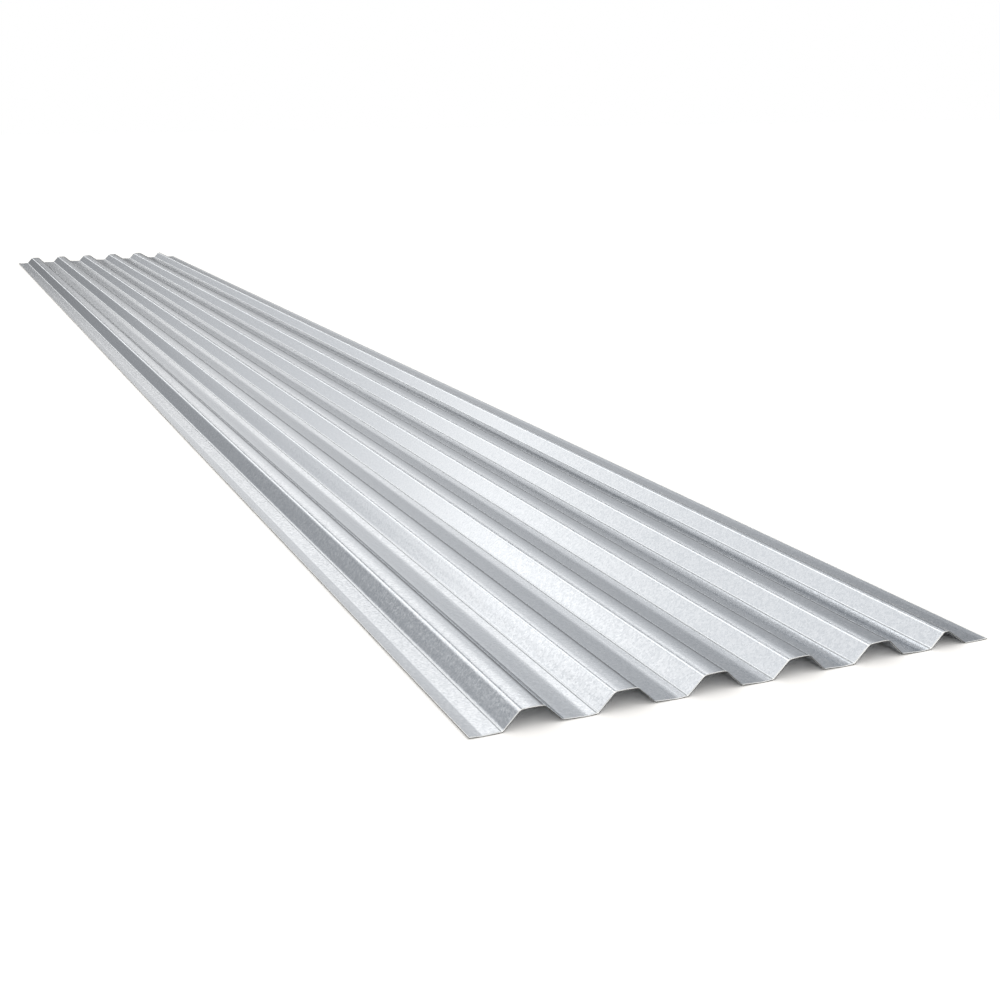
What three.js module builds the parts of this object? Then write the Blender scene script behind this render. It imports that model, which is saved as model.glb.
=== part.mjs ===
import * as THREE from 'three';

// Trapezoidal ribbed sheet, cold rolled from one strip of galvanised steel.
// Millimetres. +X runs across the ribs, +Y along them, +Z up, with the crests upward.
// The origin is at the centre of the footprint, at the level that the pans lie on.

// Ribs
const ribCount = 6;             // the last one is the lap rib
const ribPitch = 125;
const ribDepth = 25;            // pan face to crest face
const crestWidth = 32;          // between the bend lines of one crest
const flankRun = 23;            // how far one flank leans, seen from above

// Lap rib: lower and narrower, so that a neighbour's first rib drops over it
const lapRibDepth = 22;
const lapCrestWidth = 8;
const lapBaseWidth = 58;        // foot to foot; its outer flank leans more than the rest

// Strip
const sheetLength = 6000;
const sheetGauge = 0.8;
const ribBendRadius = 5;        // inside face of the bends at crest and foot
const bendSteps = 6;            // facets round one bend

// Lap edges: a flat beyond the outer ribs, ending in a lip turned up a little
const leftFlatWidth = 25;
const leftLipWidth = 18;
const leftLipRise = 2;
const rightFlatWidth = 27;
const rightLipWidth = 10;
const rightLipRise = 1.5;
const lipBendRadius = 24;

const lapRise = (flankRun * lapRibDepth) / ribDepth;
const lapFall = lapBaseWidth - lapCrestWidth - lapRise;
const lapFoot = (ribCount - 1) * ribPitch + lapBaseWidth;
const leftEdge = -leftFlatWidth - leftLipWidth;
const rightEdge = lapFoot + rightFlatWidth + rightLipWidth;

// A corner on the strip's middle line, with the inside radius that the rolls give its bend.
function bend(x, z, radius) {
  return { at: new THREE.Vector2(x, z + sheetGauge / 2), radius };
}

// The four bends of one rib: foot, crest, crest, foot.
function ribBends(foot, depth, rise, crest, fall) {
  return [
    bend(foot, 0, ribBendRadius),
    bend(foot + rise, depth, ribBendRadius),
    bend(foot + rise + crest, depth, ribBendRadius),
    bend(foot + rise + crest + fall, 0, ribBendRadius),
  ];
}

function middleLine() {
  const line = [bend(leftEdge, leftLipRise, 0), bend(-leftFlatWidth, 0, lipBendRadius)];
  for (let i = 0; i < ribCount - 1; i += 1) {
    line.push(...ribBends(i * ribPitch, ribDepth, flankRun, crestWidth, flankRun));
  }
  const lap = (ribCount - 1) * ribPitch;
  line.push(...ribBends(lap, lapRibDepth, lapRise, lapCrestWidth, lapFall));
  line.push(bend(lapFoot + rightFlatWidth, 0, lipBendRadius));
  line.push(bend(rightEdge, rightLipRise, 0));
  return line;
}

function runBetween(from, to) {
  return to.at.clone().sub(from.at).normalize();
}

// A point carried from the middle line to the face on the left of the strip's run.
function onFace(point, run) {
  const side = sheetGauge / 2;
  return new THREE.Vector2(point.x - run.y * side, point.y + run.x * side);
}

// Draws one face of the strip. Each corner becomes an arc about the bend's own centre, so
// the two faces stay parallel round it.
function drawFace(shape, line) {
  const side = sheetGauge / 2;
  const end = line.length - 1;
  const first = onFace(line[0].at, runBetween(line[0], line[1]));
  if (shape.curves.length === 0) {
    shape.moveTo(first.x, first.y);
  } else {
    shape.lineTo(first.x, first.y);
  }
  for (let i = 1; i < end; i += 1) {
    const into = runBetween(line[i - 1], line[i]);
    const turn = Math.asin(into.cross(runBetween(line[i], line[i + 1])));
    const hand = Math.sign(turn);
    const middle = line[i].radius + side;
    const setback = middle * Math.tan(Math.abs(turn) / 2);
    const normal = new THREE.Vector2(-into.y, into.x);
    const centre = line[i].at.clone();
    centre.addScaledVector(into, -setback);
    centre.addScaledVector(normal, hand * middle);
    const from = Math.atan2(-hand * normal.y, -hand * normal.x);
    shape.absarc(centre.x, centre.y, middle - hand * side, from, from + turn, hand < 0);
  }
  const last = onFace(line[end].at, runBetween(line[end - 1], line[end]));
  shape.lineTo(last.x, last.y);
}

// Section of the strip: the upper face from left to right, then the lower face back.
function stripSection() {
  const line = middleLine();
  const shape = new THREE.Shape();
  drawFace(shape, line);
  drawFace(shape, line.reverse());
  shape.closePath();
  return shape;
}

const galvanised = new THREE.MeshStandardMaterial({
  color: 0xc3c8cc,
  roughness: 0.38,
  metalness: 1,
});

const rolledStrip = new THREE.ExtrudeGeometry(stripSection(), {
  depth: sheetLength,
  bevelEnabled: false,
  curveSegments: bendSteps / 2,
});

const sheet = new THREE.Mesh(rolledStrip, galvanised);
sheet.name = 'profiled_sheet';
sheet.rotation.x = Math.PI / 2;
sheet.position.set(-(leftEdge + rightEdge) / 2, sheetLength / 2, 0);

const part = new THREE.Group();
part.name = 'corrugated_metal_sheet';
part.add(sheet);

export default part;
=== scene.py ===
import math
import bpy
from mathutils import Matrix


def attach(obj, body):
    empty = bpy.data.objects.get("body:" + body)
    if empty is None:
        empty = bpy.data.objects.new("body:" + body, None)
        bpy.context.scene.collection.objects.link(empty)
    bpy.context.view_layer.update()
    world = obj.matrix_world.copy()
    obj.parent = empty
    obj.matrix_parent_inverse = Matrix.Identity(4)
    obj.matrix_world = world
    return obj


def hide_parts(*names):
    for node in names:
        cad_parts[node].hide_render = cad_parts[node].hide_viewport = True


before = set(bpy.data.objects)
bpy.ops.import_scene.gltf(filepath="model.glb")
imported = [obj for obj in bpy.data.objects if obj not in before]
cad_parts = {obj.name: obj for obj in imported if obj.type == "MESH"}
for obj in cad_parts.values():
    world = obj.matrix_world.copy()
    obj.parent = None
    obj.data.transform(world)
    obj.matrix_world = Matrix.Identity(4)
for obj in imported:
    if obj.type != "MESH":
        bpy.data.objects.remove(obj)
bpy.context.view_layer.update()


# The camera stands at the near left corner of the sheet, a little above knee height, with a
# normal lens, and looks along the ribs.
camera_data = bpy.data.cameras.new("camera")
camera_data.lens = 50
camera_data.sensor_width = 36
camera_data.clip_start = 0.02
camera_data.clip_end = 200
camera = bpy.data.objects.new("camera", camera_data)
bpy.context.scene.collection.objects.link(camera)
camera.location = (-0.9235, -4.3732, 0.6991)
camera.rotation_euler = (math.radians(74.435), math.radians(0.584), math.radians(-23.21))
bpy.context.scene.camera = camera


# The sheet is one strip of hot-dip galvanised steel, cold rolled into five flat-topped ribs and a
# lower lap rib, with pans between them. It is made here the same way: the left lip is laid down
# first, and each next panel is drawn out of its edge, rib after rib, to the lip on the right. The
# lips are given as a step across and a step up.
length = 6.0
gauge = 0.0008
left_lip = (0.018, -0.00145)
left_flat = 0.025
full_ribs = 5
rib_depth = 0.025
flank_run = 0.023
lap_depth = 0.022
lap_base = 0.058
right_flat = 0.027
right_lip = (0.010, 0.0009)
rib_bend = 0.005 + gauge / 2
lip_bend = 0.024 + gauge / 2
lip_turn = math.radians(8)

# The rolls leave no panel quite flat. Each pan lies a little dished between its feet, in long
# shallow strips, and each crest is crowned, the first two of them less. Every strip is given as
# its width and its lean in degrees.
pan = [(0.0080, -3.0), (0.0060, -4.0), (0.0060, -3.0), (0.0090, -4.0), (0.0040, -1.0),
       (0.0033, 2.0), (0.0070, 4.2), (0.0037, 2.0)]
first_crest = [(0.0045, 4.0), (0.0045, 2.2), (0.007, 1.0), (0.008, -0.8), (0.0038, -2.6),
               (0.0042, -7.0)]
crest = [(0.0065, 6.5), (0.006, 3.5), (0.006, 1.5), (0.0055, 0.0), (0.0038, -2.6),
         (0.0042, -7.0)]
lap_crest = [(0.004, 1.6), (0.004, 0.6)]


def strips(panel):
    """Each strip of a panel as a step across and a step up."""
    return [(across, across * math.tan(math.radians(lean))) for across, lean in panel]


def climb(steps):
    """How far the rising strips of a panel go up."""
    return sum(up for across, up in steps if up > 0)


def drop(steps):
    """How far the falling strips of a panel go down."""
    return -sum(up for across, up in steps if up < 0)


def beside_folds(steps, left=True, right=True):
    """The same steps, cut a little way from each fold, so that its shading ends there."""
    steps = list(steps)
    from_fold = 0.0032
    if left:
        across, up = steps[0]
        part = from_fold / across
        steps[:1] = [(across * part, up * part), (across * (1 - part), up * (1 - part))]
    if right:
        across, up = steps[-1]
        part = from_fold / across
        steps[-1:] = [(across * (1 - part), up * (1 - part)), (across * part, up * part)]
    return steps


foot_left = climb(strips(pan))
foot_right = drop(strips(pan))
panels = beside_folds([(left_flat, foot_left)], left=False)
for rib in range(full_ribs):
    top = strips(first_crest if rib < 2 else crest)
    shoulder_left = rib_depth - climb(top)
    shoulder_right = rib_depth - drop(top)
    panels += beside_folds([(flank_run, shoulder_left - foot_left)])
    panels += beside_folds(top)
    panels += beside_folds([(flank_run, foot_right - shoulder_right)])
    panels += beside_folds(strips(pan), right=False)
# The near slope of the lap rib is as steep as the ribs' own, and its far slope takes the rest.
lap_near_run = flank_run * lap_depth / rib_depth
lap_far_run = lap_base - lap_near_run - sum(across for across, lean in lap_crest)
lap_shoulder = lap_depth - climb(strips(lap_crest))
panels += beside_folds([(lap_near_run, lap_shoulder - foot_left)])
panels += strips(lap_crest)
panels += beside_folds([(lap_far_run, -lap_depth)])
panels += beside_folds([(right_flat, 0)], right=False)
panels += [right_lip]
width = left_lip[0] + sum(across for across, up in panels)
left_edge = -width / 2

bpy.ops.object.select_all(action="DESELECT")
bpy.ops.mesh.primitive_plane_add(size=1, enter_editmode=True)
bpy.ops.transform.resize(value=(left_lip[0], length, 1))
bpy.ops.transform.translate(value=(left_edge + left_lip[0] / 2, 0, gauge / 2))
sheet = bpy.context.object
sheet.name = "galvanised_sheet"


def select_edge_line(obj, x):
    """Selects the edges that run along the sheet at one distance across it."""
    bpy.ops.object.mode_set(mode="OBJECT")
    on_line = [abs(vertex.co.x - x) < 1e-4 for vertex in obj.data.vertices]
    for vertex, chosen in zip(obj.data.vertices, on_line):
        vertex.select = chosen
    for edge in obj.data.edges:
        edge.select = on_line[edge.vertices[0]] and on_line[edge.vertices[1]]
    for face in obj.data.polygons:
        face.select = False
    bpy.ops.object.mode_set(mode="EDIT")


bpy.ops.mesh.select_mode(type="EDGE")
select_edge_line(sheet, left_edge)
bpy.ops.transform.translate(value=(0, 0, -left_lip[1]))
select_edge_line(sheet, left_edge + left_lip[0])
for across, up in panels:
    bpy.ops.mesh.extrude_region_move(TRANSFORM_OT_translate={"value": (across, 0, up)})

# The folds are rounded as the rolls leave them, the ribs' tightly and the lips' gently, and the
# strip then gets its thickness on both sides of its middle. All the ribs' folds turn about as far
# as those of the last full rib.
rib_turn = math.atan2(shoulder_left - foot_left, flank_run)
bpy.ops.mesh.select_all(action="DESELECT")
bpy.ops.mesh.edges_select_sharp(sharpness=math.radians(20))
bpy.ops.mesh.bevel(offset_type="OFFSET", offset=rib_bend * math.tan(rib_turn / 2), segments=8,
                   profile=0.5, affect="EDGES")
for lip_fold in (left_edge + left_lip[0], width / 2 - right_lip[0]):
    select_edge_line(sheet, lip_fold)
    bpy.ops.mesh.bevel(offset_type="OFFSET", offset=lip_bend * math.tan(lip_turn / 2),
                       segments=3, profile=0.5, affect="EDGES")
bpy.ops.mesh.select_all(action="SELECT")
bpy.ops.mesh.normals_make_consistent(inside=False)
bpy.ops.object.mode_set(mode="OBJECT")

thickness = sheet.modifiers.new("gauge", "SOLIDIFY")
thickness.thickness = gauge
thickness.offset = 0
thickness.use_even_offset = True
thickness.material_offset_rim = 1


def linear(code):
    """A hex sRGB colour as linear red, green, blue and alpha."""
    channels = [int(code[i:i + 2], 16) / 255 for i in (1, 3, 5)]
    return [c / 12.92 if c <= 0.04045 else ((c + 0.055) / 1.055) ** 2.4 for c in channels] + [1]


def add_node(tree, kind, settings=None, links=None):
    """Adds a node, sets its sockets by name or its properties, and links its inputs."""
    node = tree.nodes.new(kind)
    for name, value in (settings or {}).items():
        if isinstance(name, int) or name in node.inputs:
            node.inputs[name].default_value = value
        else:
            setattr(node, name, value)
    for name, source in (links or {}).items():
        tree.links.new(source, node.inputs[name])
    return node


def shade(tree, value, stops):
    """A grey that follows a value, through stops of value and level."""
    first, last = stops[0][0], stops[-1][0]
    spread = add_node(tree, "ShaderNodeMapRange", {"From Min": first, "From Max": last},
                      {"Value": value})
    node = add_node(tree, "ShaderNodeValToRGB", {}, {"Fac": spread.outputs["Result"]})
    ramp = node.color_ramp
    while len(ramp.elements) < len(stops):
        ramp.elements.new(0.5)
    for element, (at, level) in zip(ramp.elements, stops):
        element.position = (at - first) / (last - first)
        element.color = (level, level, level, 1)
    return node.outputs["Color"]


# Hot-dip galvanised steel, passed through rolls: satin zinc, cool grey, with a fine frozen
# spangle whose crystals each throw the light a little differently, and faint marks of the rolls.
zinc = bpy.data.materials.new("hot_dip_zinc_fine_spangle")
zinc.use_nodes = True
tree = zinc.node_tree
tree.nodes.clear()
place = add_node(tree, "ShaderNodeTexCoord").outputs["Object"]
# The crystals are about 3 mm across, and each has a slightly different tone and gloss.
spangle = add_node(tree, "ShaderNodeTexVoronoi", {"Scale": 1 / 0.003, "Randomness": 1.0},
                   {"Vector": place})
crystal = add_node(tree, "ShaderNodeSeparateColor", {}, {"Color": spangle.outputs["Color"]})
roughness = add_node(tree, "ShaderNodeMapRange", {"To Min": 0.08, "To Max": 0.17},
                     {"Value": crystal.outputs["Red"]})
tone = add_node(tree, "ShaderNodeMix",
                {"data_type": "RGBA", 6: linear("#d9dee4"), 7: linear("#e9edf2")},
                {0: crystal.outputs["Green"]})
# Each crystal's face froze at its own slope, within half a degree, over a soft orange peel.
slopes = add_node(tree, "ShaderNodeVectorMath", {"operation": "SUBTRACT", 1: (0.5, 0.5, 0.5)},
                  {0: spangle.outputs["Color"]})
slopes = add_node(tree, "ShaderNodeVectorMath", {"operation": "SCALE", "Scale": 0.013},
                  {0: slopes.outputs[0]})
smooth = add_node(tree, "ShaderNodeNewGeometry").outputs["Normal"]
faces = add_node(tree, "ShaderNodeVectorMath", {"operation": "ADD"},
                 {0: slopes.outputs[0], 1: smooth})
faces = add_node(tree, "ShaderNodeVectorMath", {"operation": "NORMALIZE"}, {0: faces.outputs[0]})
grain = add_node(tree, "ShaderNodeTexNoise", {"Scale": 1 / 0.005, "Detail": 2.0},
                 {"Vector": place})
frozen = add_node(tree, "ShaderNodeBump", {"Strength": 1.0, "Distance": 0.00006},
                  {"Height": grain.outputs["Fac"], "Normal": faces.outputs[0]})
# The rolls leave long soft waves, narrow across the sheet and almost a metre along it.
drawn = add_node(tree, "ShaderNodeMapping", {"Scale": (1 / 0.012, 1 / 0.9, 1 / 0.012)},
                 {"Vector": place})
waves = add_node(tree, "ShaderNodeTexNoise", {"Scale": 1.0, "Detail": 1.0},
                 {"Vector": drawn.outputs[0]})
rolled = add_node(tree, "ShaderNodeBump", {"Strength": 1.0, "Distance": 0.00007},
                  {"Height": waves.outputs["Fac"], "Normal": frozen.outputs[0]})
# The bends that face right are darkened with painted shade. Those that face left are made matt,
# and at the feet of the ribs also a little darker with painted shade. How far the surface leans
# across the sheet tells them from the flats and the slopes.
across_slope = add_node(tree, "ShaderNodeSeparateXYZ", {}, {"Vector": smooth}).outputs["X"]
painted_bend_shade = shade(tree, across_slope, [(0.06, 1.0), (0.13, 0.45), (0.6, 0.45), (0.7, 0.9)])
matted = shade(tree, across_slope, [(-0.66, 0.0), (-0.58, 1.0), (-0.13, 1.0), (-0.08, 0.0)])
height = add_node(tree, "ShaderNodeSeparateXYZ", {}, {"Vector": place}).outputs["Z"]
low = add_node(tree, "ShaderNodeMapRange", {"From Min": 0.014, "From Max": 0.008},
               {"Value": height})
# Painted shade: the left-facing bends are a little darker low down, at the feet of the ribs.
painted_foot_shade = add_node(tree, "ShaderNodeMath", {"operation": "MULTIPLY"},
                  {0: matted, 1: low.outputs["Result"]})
roughness = add_node(tree, "ShaderNodeMath", {"operation": "MULTIPLY_ADD", 1: 0.2},
                     {0: matted, 2: roughness.outputs["Result"]})
tone = add_node(tree, "ShaderNodeMix", {"data_type": "RGBA", 7: linear("#ccd0d4")},
                {0: painted_foot_shade.outputs[0], 6: tone.outputs[2]})
tone = add_node(tree, "ShaderNodeMix", {"data_type": "RGBA", "blend_type": "MULTIPLY", 0: 1.0},
                {6: tone.outputs[2], 7: painted_bend_shade})
# The last two or three millimetres at the ends, and the last one at the sides, are pale and matt:
# a painted highlight along the cut edges, on rougher zinc.
away = add_node(tree, "ShaderNodeVectorMath", {"operation": "ABSOLUTE"}, {0: place})
reach = add_node(tree, "ShaderNodeSeparateXYZ", {}, {"Vector": away.outputs[0]})
ends = add_node(tree, "ShaderNodeMapRange",
                {"From Min": length / 2 - 0.0028, "From Max": length / 2 - 0.0022},
                {"Value": reach.outputs["Y"]})
sides = add_node(tree, "ShaderNodeMapRange",
                 {"From Min": width / 2 - 0.0015, "From Max": width / 2 - 0.0011},
                 {"Value": reach.outputs["X"]})
painted_highlight_band = add_node(tree, "ShaderNodeMath", {"operation": "MAXIMUM"},
               {0: ends.outputs["Result"], 1: sides.outputs["Result"]})
roughness = add_node(tree, "ShaderNodeMix", {3: 0.5},
                     {0: painted_highlight_band.outputs[0], 2: roughness.outputs[0]})
tone = add_node(tree, "ShaderNodeMix", {"data_type": "RGBA", 7: linear("#fbfcfc")},
                {0: painted_highlight_band.outputs[0], 6: tone.outputs[2]})
surface = add_node(tree, "ShaderNodeBsdfPrincipled", {"Metallic": 1.0},
                   {"Base Color": tone.outputs[2], "Roughness": roughness.outputs[0],
                    "Normal": rolled.outputs[0]})
add_node(tree, "ShaderNodeOutputMaterial", {}, {"Surface": surface.outputs["BSDF"]})
sheet.data.materials.append(zinc)

# The sheared ends and sides. Below the pale painted highlight the cut steel is rough, dull and
# dark grey: partly its own darker colour, and partly painted shadow in place of the shade under
# each cut, so that each cut shows as a thin dark line.
cut_edge_with_painted_shadow = bpy.data.materials.new("sheared_edge_painted_shadow")
cut_edge_with_painted_shadow.use_nodes = True
tree = cut_edge_with_painted_shadow.node_tree
tree.nodes.clear()
place = add_node(tree, "ShaderNodeTexCoord").outputs["Object"]
tear = add_node(tree, "ShaderNodeTexNoise", {"Scale": 1 / 0.004, "Detail": 3.0},
                {"Vector": place})
steel = add_node(tree, "ShaderNodeMix",
                 {"data_type": "RGBA", 6: linear("#3c3b38"), 7: linear("#6f6e6b")},
                 {0: tear.outputs["Fac"]})
surface = add_node(tree, "ShaderNodeBsdfPrincipled", {"Metallic": 1.0, "Roughness": 0.45},
                   {"Base Color": steel.outputs[2]})
add_node(tree, "ShaderNodeOutputMaterial", {}, {"Surface": surface.outputs["BSDF"]})
sheet.data.materials.append(cut_edge_with_painted_shadow)

# The thickness is made real only now, because its cut faces take the dark, painted-shadow edge.
bpy.ops.object.modifier_apply(modifier=thickness.name)
bpy.ops.object.shade_smooth_by_angle(angle=math.radians(30))

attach(sheet, "root")
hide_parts("profiled_sheet")


# The floor is a wide plain sweep of matt white paper. The camera and the metal see it as white as
# the room around it. The light that it throws back is a little less and a little warm, and so is
# the shade under the ribs.
bpy.ops.object.select_all(action="DESELECT")
bpy.ops.mesh.primitive_plane_add(size=120)
floor = bpy.context.object
floor.name = "floor"


def seen_in_metal(tree, ray):
    """1 for what the metal itself mirrors, and 0 for the light that it throws on the floor."""
    mirrored = add_node(tree, "ShaderNodeMath", {"operation": "MAXIMUM"},
                        {0: ray.outputs["Is Glossy Ray"], 1: ray.outputs["Is Transmission Ray"]})
    straight = add_node(tree, "ShaderNodeMath", {"operation": "LESS_THAN", 1: 0.5},
                        {0: ray.outputs["Diffuse Depth"]})
    return add_node(tree, "ShaderNodeMath", {"operation": "MULTIPLY"},
                    {0: mirrored.outputs[0], 1: straight.outputs[0]}).outputs[0]


paper = bpy.data.materials.new("white_studio_floor")
paper.use_nodes = True
tree = paper.node_tree
tree.nodes.clear()
ray = add_node(tree, "ShaderNodeLightPath")
seen = add_node(tree, "ShaderNodeMath", {"operation": "MAXIMUM"},
                {0: ray.outputs["Is Camera Ray"], 1: seen_in_metal(tree, ray)})
white = add_node(tree, "ShaderNodeMix",
                 {"data_type": "RGBA", 6: linear("#e7e6e4"), 7: (1.12, 1.12, 1.12, 1)},
                 {0: seen.outputs[0]})
matt = add_node(tree, "ShaderNodeBsdfDiffuse", {}, {"Color": white.outputs[2]})
add_node(tree, "ShaderNodeOutputMaterial", {}, {"Surface": matt.outputs["BSDF"]})
floor.data.materials.append(paper)


# The studio is a room that the camera sees as plain white. The metal mirrors its shading: walls
# of soft boxes and grey gaps to the left and right, and one long lamp overhead, which only the
# bends of the sheet find.
world = bpy.data.worlds.new("studio")
bpy.context.scene.world = world
world.use_nodes = True
tree = world.node_tree
tree.nodes.clear()
ray = add_node(tree, "ShaderNodeLightPath")
heading = add_node(tree, "ShaderNodeTexCoord").outputs["Generated"]
axes = add_node(tree, "ShaderNodeSeparateXYZ", {}, {"Vector": heading})
# The rise of a heading is its height over its distance ahead, and its side is how many degrees
# it turns left or right of overhead.
ahead = add_node(tree, "ShaderNodeMath", {"operation": "MAXIMUM", 1: 0.02},
                 {0: axes.outputs["Y"]}).outputs[0]
rise = add_node(tree, "ShaderNodeMath", {"operation": "DIVIDE"},
                {0: axes.outputs["Z"], 1: ahead}).outputs[0]
turn = add_node(tree, "ShaderNodeMath", {"operation": "ARCTAN2"},
                {0: axes.outputs["X"], 1: axes.outputs["Z"]})
side = add_node(tree, "ShaderNodeMath", {"operation": "DEGREES"}, {0: turn.outputs[0]}).outputs[0]


def between(tree, value, start, end, under, above):
    """Passes from one shading to another as a value goes from start to end."""
    part = add_node(tree, "ShaderNodeMapRange", {"From Min": start, "From Max": end},
                    {"Value": value})
    return add_node(tree, "ShaderNodeMix", {"data_type": "RGBA"},
                    {0: part.outputs["Result"], 6: under, 7: above}).outputs[2]


# How bright the walls are from side to side, where white is 1, and then how that changes with
# the rise up each stretch of wall.
walls = shade(tree, side, [
    (-48.5, 0.4), (-47, 0.75), (-42, 0.9), (-28, 0.75), (14, 0.1), (26, 0.25), (30, 0.2),
    (33, 1.15), (38, 1.4), (41, 1.4), (44, 0.7), (47, 0.95), (50, 0.6), (60, 0.4), (68, 0.4),
    (76, 0.25)])
left_gap = shade(tree, rise, [(0.08, 0.55), (0.12, 0.8), (0.24, 0.9), (0.42, 1.1)])
left_wall = shade(tree, rise, [(0.12, 0.35), (0.17, 0.65), (0.32, 1.05), (0.42, 1.6),
                               (0.6, 1.2), (0.9, 1.05)])
right_wall = shade(tree, rise, [(0.08, 0.25), (0.17, 0.55), (0.32, 0.8), (0.42, 0.75),
                                (0.9, 1.6)])
far_right = shade(tree, rise, [(0.08, 0.45), (0.12, 1.1), (0.17, 1.3), (0.42, 1.05),
                               (0.6, 0.6), (0.9, 0.4)])
upward = between(tree, side, -50, -46, left_gap, left_wall)
upward = between(tree, side, -46, 30, upward, right_wall)
upward = between(tree, side, 30, 60, upward, far_right)
room = add_node(tree, "ShaderNodeMix", {"data_type": "RGBA", "blend_type": "MULTIPLY", 0: 1.0},
                {6: walls, 7: upward}).outputs[2]
lamp = shade(tree, side, [(-28, 0.0), (-14, 1.45), (0, 1.0), (14, 0.0)])
room = add_node(tree, "ShaderNodeMix", {"data_type": "RGBA", "blend_type": "ADD", 0: 1.0},
                {6: room, 7: lamp}).outputs[2]
# Straight overhead and behind the camera it is plainer: greys that part the ribs' slopes from
# the flats.
behind = shade(tree, side, [(-75, 0.36), (-50, 0.5), (-25, 0.88), (0, 0.68), (25, 0.92),
                            (50, 0.6), (75, 0.42)])
room = between(tree, axes.outputs["Y"], 0.5, 0.25, room, behind)
# The shade of the room is a little cool and its light a little warm.
lit = add_node(tree, "ShaderNodeMapRange", {"From Min": 0.3, "From Max": 1.1}, {"Value": room})
tint = add_node(tree, "ShaderNodeMix",
                {"data_type": "RGBA", 6: (0.982, 1, 1.03, 1), 7: (1.013, 1, 0.982, 1)},
                {0: lit.outputs["Result"]})
room = add_node(tree, "ShaderNodeMix", {"data_type": "RGBA", "blend_type": "MULTIPLY", 0: 1.0},
                {6: room, 7: tint.outputs[2]}).outputs[2]
mirrored = add_node(tree, "ShaderNodeBackground", {"Strength": 1.0}, {"Color": room})
# The light that it gives falls from above and a little from the front right, so that the hollows
# on the floor are shaded.
falling = add_node(tree, "ShaderNodeVectorMath",
                   {"operation": "DOT_PRODUCT", 1: (0.3, -0.25, 0.45)}, {0: heading})
overhead = add_node(tree, "ShaderNodeMath", {"operation": "ADD", 1: 0.7},
                    {0: falling.outputs["Value"]})
light = add_node(tree, "ShaderNodeBackground", {"Color": linear("#fffdfa")},
                 {"Strength": overhead.outputs[0]})
plain = add_node(tree, "ShaderNodeBackground", {"Color": (1, 1, 1, 1), "Strength": 1.0})
seen = add_node(tree, "ShaderNodeMixShader", {},
                {0: ray.outputs["Is Camera Ray"], 1: light.outputs[0], 2: plain.outputs[0]})
seen = add_node(tree, "ShaderNodeMixShader", {},
                {0: seen_in_metal(tree, ray), 1: seen.outputs[0], 2: mirrored.outputs[0]})
add_node(tree, "ShaderNodeOutputWorld", {}, {"Surface": seen.outputs[0]})

bpy.context.scene.view_settings.view_transform = "Standard"
